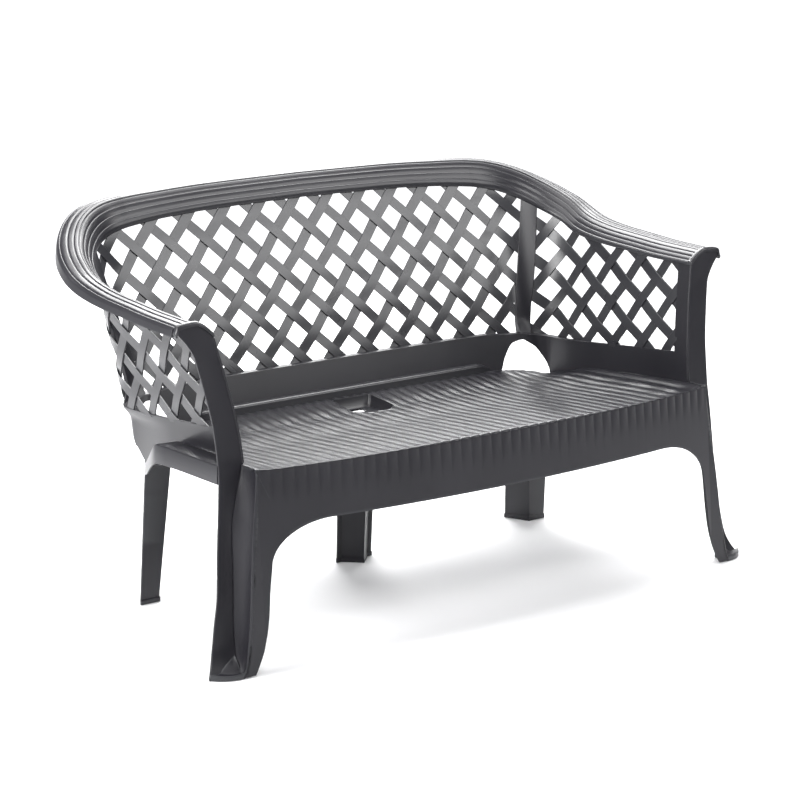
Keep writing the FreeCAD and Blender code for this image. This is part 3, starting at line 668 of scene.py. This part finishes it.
def arm_post():
    """Outer plate of the leg, from the floor up to the end of the arm's rail."""
    heights = np.concatenate([np.linspace(0, 60, 14), np.linspace(72, POST_HEAD, 50)])
    across = np.linspace(0, 1, 25)
    rows = []
    for height in heights:
        inner = value(POST_INNER_X, height) - 3.0
        outer = value(POST_OUTER_X, height)
        x = inner + (outer - inner) * across
        hollow = 1.5 * np.sin(np.pi * across) + value(POST_SWEEP, height) * across
        rows.append(np.stack([x, post_front(height) + hollow, np.full_like(x, height)], -1))
    for step in np.linspace(0, 1, 10)[1:]:
        height = POST_HEAD + (POST_TOP - POST_HEAD) * step
        inner = value(POST_INNER_X, height) - 3.0
        outer = value(POST_OUTER_X, height) + 14.0 * smooth_step(step)
        x = inner + (outer - inner) * across
        top = CAP_LEVEL + rail_height(across * 88.0, CAP_RISE) - 3.0
        z = POST_HEAD + (top - POST_HEAD) * step
        rows.append(np.stack([x, post_front(height) + 1.5 * np.sin(np.pi * across), z], -1))
    face = np.stack(rows)
    return sheet(face, face + np.array([0, SKIN, 0]))


def toe():
    """Rounded scoop that closes the foot in front of the post."""
    along = np.linspace(0, 1, 17)
    inward = np.linspace(0, 1, 9)
    start = np.array([638.0, leg_front(0) + 1.0])
    end = np.array([698.0, post_front(0) + 13.0])
    back = np.array([636.0, post_front(30) + 2.0])
    lip = start + (end - start) * along[:, None]
    normal = np.array([end[1] - start[1], start[0] - end[0]])
    normal /= np.linalg.norm(normal)
    lip = lip + normal * (9.0 * np.sin(np.pi * along) ** 0.8)[:, None]
    top = np.zeros((len(along), len(inward) + 2, 3))
    low = np.zeros_like(top)
    for i in range(len(along)):
        height = 13.0 - 3.0 * math.sin(math.pi * along[i])
        top[i, 0] = (*lip[i], height - 3.0)
        low[i, 0] = (*(lip[i] - normal * 1.0), 0.0)
        top[i, 1] = (*(lip[i] - normal * 1.5), height)
        low[i, 1] = (*(lip[i] - normal * 4.0), 0.0)
        for j, share in enumerate(inward):
            spot = lip[i] - normal * 4.0 + (back - lip[i] + normal * 4.0) * share
            rise = height - 1.0 - 5.0 * math.sin(math.pi * min(share * 1.6, 1.0)) + 26.0 * share ** 2
            top[i, j + 2] = (*spot, rise)
            low[i, j + 2] = (*spot, 0.0)
    return sheet(top, low)


def loft(sections, rows=24):
    """Closed skin lofted straight between level outlines (height, points)."""
    rings = []
    for (low, first), (high, last) in zip(sections, sections[1:]):
        for share in np.linspace(0, 1, rows):
            if rings and share == 0:
                continue
            plan = np.array(first) + (np.array(last) - np.array(first)) * share
            rings.append(np.column_stack([plan, np.full(len(plan), low + (high - low) * share)]))
    return tube(rings)


def angle_leg(inner, outer, y, back, deep):
    """Plan of a rear leg: a front panel with a flange running back from its inner edge."""
    return [(inner, y), (outer, y), (outer, y + 4.5), (inner + 5, y + 4.5), (back + 4.5, y + deep),
            (back, y + deep)]


def rear_leg():
    foot_plan = angle_leg(502.5, 549, 147.5, 477, 60)
    low_plan = angle_leg(504, 548, 149, 479, 58)
    top_plan = angle_leg(478, 542, 125, 455, 54)
    return loft([(0, foot_plan), (9, foot_plan), (11, low_plan), (345, top_plan)])


def middle_leg():
    def plan(y, reach, flange):
        return [(0, y), (reach, y + reach), (reach + flange, y + reach), (reach + flange, y + reach + 4),
                (reach - 2, y + reach + 4.5), (0, y + 6), (-reach + 2, y + reach + 4.5),
                (-reach - flange, y + reach + 4), (-reach - flange, y + reach), (-reach, y + reach)]
    return loft([(0, plan(110.5, 36, 12)), (9, plan(110.5, 36, 12)), (11, plan(112.0, 35, 11)),
                 (335, plan(92.0, 40, 11))])


# ---------------------------------------------------------------- walls

def wall_grid(places, low, high, rows, inner=0.0, thickness=WALL):
    """Both faces of a strip of wall.

    low and high give the heights of its edges at a place, inner the offset of its inner face there, and
    thickness that of its outer face.
    """
    inside = np.zeros((rows, len(places), 3))
    outside = np.zeros_like(inside)
    for column, place in enumerate(places):
        offset = inner(place) if callable(inner) else inner
        for row, height in enumerate(np.linspace(low(place), high(place), rows)):
            inside[row, column] = wall_point(place, height, offset)
            outer = thickness(place, height) if callable(thickness) else thickness
            outside[row, column] = wall_point(place, height, outer)
    return inside, outside


def ledge_depth(place):
    """How far the band stands inside the lattice, which makes a narrow ledge along its top."""
    return -LEDGE * (1 - smooth_step((place - 1.0) / 0.42))


def band_outside(place, height):
    """Outer face of the band, which steps in with the inner one and spreads at its top under the lattice."""
    thin = ledge_depth(place) + WALL
    spread = 1 - smooth_step((band_edge(place) - height) / BAND_SPREAD)
    return thin + (WALL - thin) * spread


def foot(place):
    """Lower edge of the wall, which rises over the open arch in the corner."""
    return float(value(WALL_FOOT, place))


def band_edge(place):
    return float(value(BAND_EDGE, place))


def rail_edge(place):
    return float(value(RAIL_EDGE, place))


def whole_run(half):
    """Grid of the whole bench from the right half's grid, whose first column is at the middle."""
    left = half[:, :0:-1] * np.array([-1.0, 1.0, 1.0])
    return np.concatenate([left, half], axis=1)


def band():
    """Band round the back and both arms, with the open arch in each corner."""
    places = np.concatenate([np.linspace(-1, -0.2, 30), np.linspace(-0.19, 0, 60),
                             np.linspace(0.01, 1.14, 90), np.linspace(1.16, 2.0, 40)])
    inside, outside = wall_grid(places, foot, band_edge, 14, ledge_depth, band_outside)
    return sheet(whole_run(inside), whole_run(outside))


def corner_post():
    """Pilaster up the corner, a little proud of the lattice."""
    rows = 40
    inside = np.zeros((rows, 13, 3))
    outside = np.zeros_like(inside)
    for row, share in enumerate(np.linspace(0, 1, rows)):
        level = 436.0 + 300.0 * share
        back_edge, arm_edge = post_place(0, level), post_place(1, level)
        for column, across in enumerate(np.linspace(0, 1, 13)):
            place = back_edge + (arm_edge - back_edge) * across
            low = band_edge(place) - 3.0
            high = rail_edge(place) + 8.0
            height = low + (high - low) * share
            proud = 1.5 + 8.0 * (1 - smooth_step(share / 0.12))
            inside[row, column] = wall_point(place, height, -proud)
            outside[row, column] = wall_point(place, height, WALL + 1.5)
    return sheet(inside, outside)


def arm_stile():
    """Upright bar between the arm's lattice and its front post."""
    places = np.linspace(STILE_PLACE, 2.0, 8)
    inside, outside = wall_grid(places, lambda place: band_edge(place) - 2,
                                lambda place: rail_edge(place) + 6, 24)
    return sheet(inside, outside)


def skirt():
    """Rim outside the foot of the arm, turning in and down to the rear leg as a hood."""
    rings = []
    for y, x, top, low in SKIRT:
        inner = min(588.0, x - 9.0)
        rings.append([(inner, y, top - 4), (x - 3, y, top - 2), (x - 1, y, top - 3), (x, y, top - 5),
                      (x + 0.5, y, low), (x - 3.5, y, low), (x - 4.5, y, top - 8), (inner, y, top - 6)])
    return tube(rings)


def rear_skirt():
    """Rim under the back of the seat."""
    y = SEAT_BACK
    rings = []
    for x in np.linspace(-415, 415, 40):
        rings.append([(x, y + 5, 372), (x, y + 10, 364), (x, y + 11, 326), (x, y + 7, 326), (x, y + 6, 360),
                      (x, y + 1, 366)])
    return tube(rings)


# ---------------------------------------------------------------- lattice

SLOPE_UP = 1.055
ARM_UP = 1.02


def back_slats(rising):
    """Slats of one direction over the whole back."""
    rise = SLAT_RISE * SLOPE_UP
    spacing = math.hypot(SLAT_PITCH / 2, rise)
    direction = np.array([SLAT_PITCH / 2, rise if rising else -rise]) / spacing
    mirror = np.array([-1.0, 1.0, 1.0])

    def inside(along, height):
        if not 425 < height < 800:
            return False
        place = place_from_middle(abs(along), height)
        if place > post_place(0, height) + 0.04:
            return False
        return band_edge(place) - 6 < height < rail_edge(place) + 8

    def point(along, height, out):
        spot = wall_point(place_from_middle(abs(along), height), height, out)
        return spot * mirror if along < 0 else spot

    parts = []
    for number in range(-14, 15):
        origin = np.array([number * SLAT_PITCH, 0.0])
        phase = 0.0 if rising else math.pi
        part = woven(origin, direction, phase, spacing, SLOPE_UP, inside, point, 700.0)
        if part:
            parts.append(part)
    return parts


def woven(origin, direction, phase, spacing, up_scale, inside, point, reach):
    """One slat through origin as far as inside() allows, waving over and under the slats it crosses."""
    across = np.array([-direction[1], direction[0]])
    steps = np.arange(-reach, reach + 0.1, 2.5)
    half = SLAT_WIDTH / 2
    lanes = [(-half, 0.3), (-half + 0.6, 0.5), (half - 0.6, 0.5), (half, 0.3), (half, -0.3),
             (half - 0.6, -0.5), (-half + 0.6, -0.5), (-half, -0.3)]
    spans = {}
    for lane in sorted({lane for lane, _ in lanes}):
        keep = []
        for step in steps:
            along, up = origin + across * lane + direction * step
            if inside(along, SLAT_LEVEL + up / up_scale):
                keep.append(step)
        if keep:
            spans[lane] = (keep[0], keep[-1])
    if len(spans) < 4:
        if not spans:
            return None
        spare = next(iter(spans.values()))
        tip = (spare[0] + spare[1]) / 2
        for lane, _ in lanes:
            spans.setdefault(lane, (tip - 0.5, tip + 0.5))
    longest = max(last - first for first, last in spans.values())
    if longest < 6:
        return None
    rings = []
    for share in np.linspace(0, 1, max(int(longest / 4.0), 3)):
        ring = []
        for lane, side in lanes:
            first, last = spans[lane]
            step = first + (last - first) * share
            along, up = origin + across * lane + direction * step
            weave = WEAVE * math.cos(math.pi * step / spacing + phase)
            ring.append(point(along, SLAT_LEVEL + up / up_scale, WALL / 2 - SLAT_SKIN * side + weave))
        rings.append(ring)
    return tube(rings)


def arm_slats(rising):
    """Slats of one direction in the right arm."""
    fall = np.array([ARM_FALL[0], ARM_FALL[1] * ARM_UP])
    climb = np.array([ARM_CLIMB[0], ARM_CLIMB[1] * ARM_UP])
    own, over = (climb, fall) if rising else (fall, climb)
    spacing = np.linalg.norm(own)
    crossing = np.array([ARM_OPENING[0], (ARM_OPENING[1] - SLAT_LEVEL) * ARM_UP]) + (fall + climb) / 2

    def inside(along, height):
        if not 415 < height < 770:
            return False
        place = place_from_front(along, height)
        if place < post_place(1, height) - 0.04 or place > STILE_PLACE + 0.02:
            return False
        return band_edge(place) - 6 < height < rail_edge(place) + 6

    def point(along, height, out):
        return wall_point(place_from_front(along, height), height, out)

    parts = []
    for number in range(-10, 11):
        origin = crossing + over * number
        phase = math.pi * (number % 2) + (0.0 if rising else math.pi)
        part = woven(origin, own / spacing, phase, spacing, ARM_UP, inside, point, 600.0)
        if part:
            parts.append(part)
    return parts


# ---------------------------------------------------------------- rail

def rail_section(place):
    """Closed section of the rail, as (out, up) pairs, with rounded ridges over its top."""
    rise = float(value(RAIL_RISE, place))
    out = np.concatenate([np.linspace(-2, 84, 104), np.linspace(84.5, 90, 10)])
    up = value(RAIL_TOP, out)
    up[-6:] = value([(0, 22.0), (0.3, 19.0), (0.7, 13.0), (1, 9.0)], np.linspace(0.1, 1, 6))
    fade = smooth_step((out + 2) / 6) * (1 - smooth_step((out - 78) / 6))
    ridge = np.interp(out, RAIL_GROOVES, np.arange(len(RAIL_GROOVES)))
    groove = 2.6 * np.abs(2 * np.mod(ridge, 1.0) - 1) ** 5
    up = up * rise - groove * fade
    under = np.array(RAIL_UNDER, float)
    section = np.concatenate([
        [[-1.5, 0.5], [-2.4, 3.0]],
        np.column_stack([out, up]),
        np.column_stack([under[:, 0], under[:, 1] * rise]),
    ])
    section[:, 1] += value(RAIL_TILT, place) * np.clip(section[:, 0] / 90.0, 0, 1) ** 1.2
    return section


def rail_ring(place):
    height = rail_edge(place) + 0.3
    inner = wall_point(place, height)
    outer = wall_point(place, height, 100.0)
    away = (outer - inner) / np.linalg.norm(outer - inner)
    section = rail_section(place)
    ring = inner + section[:, :1] * value(RAIL_WIDTH, place) * away
    ring[:, 2] += section[:, 1]
    return ring


def rail_run():
    """Rail round the back and both arms."""
    places = np.concatenate([np.linspace(-1, -0.1, 60), np.linspace(-0.09, 1.1, 110),
                             np.linspace(1.12, 1.988, 60)])
    half = np.array([rail_ring(place) for place in places])
    left = half[:0:-1] * np.array([-1.0, 1.0, 1.0])
    return tube(np.concatenate([left, half]))


def arm_cap():
    """Raised border over the front end of the arm's rail."""
    start = wall_point(1.98, CAP_LEVEL)
    front = post_front(POST_TOP) - 2.5
    out = np.linspace(-3, 88, 60)
    top = rail_height(out, CAP_RISE)
    top[-3:] = (21.0, 17.0, 13.0)
    out = out * 0.95
    rings = []
    border = ((0, -1.5), (0.08, 1.2), (0.25, 3.4), (0.5, 4.2), (0.75, 3.6), (0.92, 1.8), (1.0, -0.5))
    for share, grow in border:
        y = np.full_like(out, start[1] + (front - start[1]) * share)
        flare = share * smooth_step((out - 60) / 28)
        upper = np.column_stack([start[0] + out + flare, y, start[2] + top + grow])
        lower = np.column_stack([start[0] + out[::-1] * 0.97, y, start[2] + top[::-1] - 5.0])
        rings.append(np.concatenate([upper, lower]))
    return tube(rings)


def bead(path, radius):
    """Round bead along a path."""
    path = np.asarray(path, float)
    ahead = np.gradient(path, axis=0)
    ahead /= np.linalg.norm(ahead, axis=1)[:, None]
    rings = []
    for spot, way in zip(path, ahead):
        side = np.cross(way, (0, 1, 0))
        side /= np.linalg.norm(side)
        up = np.cross(side, way)
        angles = np.linspace(0, 2 * np.pi, 12, endpoint=False)
        rings.append(spot + radius * (np.cos(angles)[:, None] * side + np.sin(angles)[:, None] * up))
    return tube(rings)


def post_bead():
    """Bead up the inner edge of the arm's front."""
    path = []
    for height in np.linspace(399, 640, 50):
        path.append((float(value(POST_INNER_X, height)) - 2.5, float(post_front(height)) + 0.5, height))
    return bead(path, 2.6)


# ---------------------------------------------------------------- pieces

seat = make_piece("seat_panel", [seat_panel()], SEAT, ["seat_panel"], "resin_seat", sharp=60)
cut_mouth(seat)
make_piece("seat_socket", [seat_socket()], SEAT, ["seat_socket"], "resin_seat", sharp=40)
make_piece("seat_back_ledge", [ledge()], SEAT, ["seat_back_ledge"], "resin_seat", sharp=50)
long_ribs, cross_ribs = ribs()
make_piece("seat_ribs_long", long_ribs, PANELS, ["seat_ribs_long"], "resin_panels")
make_piece("seat_ribs_cross", cross_ribs, PANELS, ["seat_ribs_cross"], "resin_panels")
FRONT_NODES = ["front_apron", "front_leg_left", "front_leg_right"]
make_piece("front_skin", front_parts(), LEGS, FRONT_NODES, "resin_legs", sharp=60)
BAND_NODES = ["back_band"] + [f"{base}_{side}" for base in ("corner_wall", "arm_band") for side, _ in SIDES]
make_piece("wall_band", [band()], PANELS, BAND_NODES, "resin_panels", bevel=1.0)
make_piece("rear_leg_middle", [middle_leg()], LEGS, ["rear_leg_middle"], "resin_legs", bevel=1.0)
make_piece("rear_skirt", [rear_skirt()], PANELS, ["rear_skirt"], "resin_panels", bevel=0.8)
make_piece("back_slats_rising", back_slats(True), LATTICE, ["back_slats_rising"], "resin_lattice", sharp=25)
make_piece("back_slats_falling", back_slats(False), LATTICE, ["back_slats_falling"], "resin_lattice",
           sharp=25)
RAIL_NODES = ["top_rail"] + [f"{base}_{side}" for base in ("rail_corner", "arm_rail") for side, _ in SIDES]
make_piece("rail", [rail_run()], RAIL, RAIL_NODES, "resin_rail", sharp=60)
arm_rising, arm_falling = arm_slats(True), arm_slats(False)

SIDE_PIECES = [
    ("leg_return", [leg_return()], LEGS, "resin_legs", 60, 0.0),
    ("arm_post", [arm_post(), post_bead()], LEGS, "resin_legs", 50, 1.2),
    ("front_toe", [toe()], LEGS, "resin_legs", 50, 1.5),
    ("rear_leg", [rear_leg()], LEGS, "resin_legs", 40, 1.2),
    ("corner_post", [corner_post()], PANELS, "resin_panels", 40, 1.2),
    ("arm_stile", [arm_stile()], PANELS, "resin_panels", 40, 0.8),
    ("side_skirt", [skirt()], PANELS, "resin_panels", 30, 1.0),
    ("arm_slats_rising", arm_rising, LATTICE, "resin_lattice", 25, 0.0),
    ("arm_slats_falling", arm_falling, LATTICE, "resin_lattice", 25, 0.0),
    ("arm_cap", [arm_cap()], RAIL, "resin_rail", 50, 0.0),
]
for base, parts, material, slot, sharp, bevel in SIDE_PIECES:
    for side_name, side in SIDES:
        name = f"{base}_{side_name}"
        make_piece(name, [on_side(part, side) for part in parts], material, [name], slot, sharp, bevel)

# ---------------------------------------------------------------- floor, light and camera

# Painted light: the floor's emission glows a little under the bench, which lifts the shade there, and
# strongly behind it, as the lit backdrop of a studio; this glow lights the bench as well.
FLOOR_REACH, FLOOR_LEVEL = 60.0, -0.001
FLOOR = bpy.data.materials.new("pale_floor")
FLOOR.use_nodes = True
floor_shader = FLOOR.node_tree.nodes["Principled BSDF"]
floor_shader.inputs["Base Color"].default_value = (0.86, 0.86, 0.87, 1)
floor_shader.inputs["Roughness"].default_value = 0.9
floor_shader.inputs["Emission Color"].default_value = (0.98, 0.985, 1.0, 1)
floor_place = FLOOR.node_tree.nodes.new("ShaderNodeTexCoord")
floor_split = FLOOR.node_tree.nodes.new("ShaderNodeSeparateXYZ")
FLOOR.node_tree.links.new(floor_place.outputs["Object"], floor_split.inputs["Vector"])
# Painted glow: emission strength rises with Y, from 0.12 under the bench to 1.0 behind it.
floor_painted_glow = FLOOR.node_tree.nodes.new("ShaderNodeMapRange")
floor_painted_glow.interpolation_type = "SMOOTHSTEP"
floor_painted_glow.inputs["From Min"].default_value = 0.6
floor_painted_glow.inputs["From Max"].default_value = 3.2
floor_painted_glow.inputs["To Min"].default_value = 0.12
floor_painted_glow.inputs["To Max"].default_value = 1.0
FLOOR.node_tree.links.new(floor_split.outputs["Y"], floor_painted_glow.inputs["Value"])
FLOOR.node_tree.links.new(floor_painted_glow.outputs["Result"], floor_shader.inputs["Emission Strength"])
floor_mesh = bpy.data.meshes.new("floor")
floor_corners = [(x * FLOOR_REACH, y * FLOOR_REACH, FLOOR_LEVEL)
                 for x, y in ((-1, -1), (1, -1), (1, 1), (-1, 1))]
floor_mesh.from_pydata(floor_corners, [], [(0, 1, 2, 3)])
floor_mesh.materials.append(FLOOR)
floor = bpy.data.objects.new("floor", floor_mesh)
bpy.context.collection.objects.link(floor)

world = bpy.data.worlds.new("studio")
bpy.context.scene.world = world
world.use_nodes = True
world_nodes = world.node_tree.nodes
world_links = world.node_tree.links
background = world_nodes["Background"]
direction = world_nodes.new("ShaderNodeTexCoord")
direction_parts = world_nodes.new("ShaderNodeSeparateXYZ")
world_links.new(direction.outputs["Generated"], direction_parts.inputs["Vector"])
back_share = world_nodes.new("ShaderNodeMapRange")
back_share.interpolation_type = "SMOOTHSTEP"
back_share.inputs["From Min"].default_value = -0.5
back_share.inputs["From Max"].default_value = 0.5
back_share.inputs["To Min"].default_value = 0.0
back_share.inputs["To Max"].default_value = 0.44
world_links.new(direction_parts.outputs["Y"], back_share.inputs["Value"])
world_links.new(back_share.outputs["Result"], background.inputs["Strength"])
background.inputs["Color"].default_value = (0.98, 0.985, 1.0, 1)


def soft_light(name, place, aim, size, power):
    """Rectangular area light of a size in metres, aimed at a point."""
    light = bpy.data.lights.new(name, "AREA")
    light.shape = "RECTANGLE"
    light.size, light.size_y = size
    light.energy = power
    lamp = bpy.data.objects.new(name, light)
    lamp.location = place
    lamp.rotation_euler = (Vector(aim) - Vector(place)).to_track_quat("-Z", "Y").to_euler()
    bpy.context.collection.objects.link(lamp)


# Name, place, aim, size and power in watts.
LIGHTS = [
    ("front_right", (1.74, -2.15, 2.1), (0.0, 0.0, 0.55), (2.0, 1.4), 50),
    ("front_left", (-2.0, -2.6, 2.8), (0.0, 0.0, 0.5), (2.0, 1.4), 88),
    ("back_right", (1.3, 1.3, 2.4), (0.0, 0.0, 0.5), (2.0, 1.6), 118),
    ("overhead", (0.0, 0.2, 2.6), (0.0, 0.0, 0.4), (3.0, 1.6), 60),
    ("left", (-2.6, 0.4, 1.6), (0.0, 0.0, 0.5), (1.4, 1.4), 80),
    ("low_back", (1.3, 2.6, 1.9), (-0.3, -0.2, 0.4), (1.6, 1.2), 40),
]
for light in LIGHTS:
    soft_light(*light)

CAMERA_LENS = 118.9
CAMERA_PLACE = (-3.3144, -4.3224, 1.6623)
CAMERA_AIM = (-0.055, -0.0885, 0.410)
camera_data = bpy.data.cameras.new("camera")
camera_data.lens = CAMERA_LENS
camera_data.sensor_width = 36.0
camera_data.clip_end = 200.0
camera = bpy.data.objects.new("camera", camera_data)
camera.location = CAMERA_PLACE
camera_aim = Vector(CAMERA_AIM) - Vector(CAMERA_PLACE)
camera.rotation_euler = camera_aim.to_track_quat("-Z", "Y").to_euler()
bpy.context.collection.objects.link(camera)
bpy.context.scene.camera = camera
bpy.context.scene.view_settings.view_transform = "Standard"
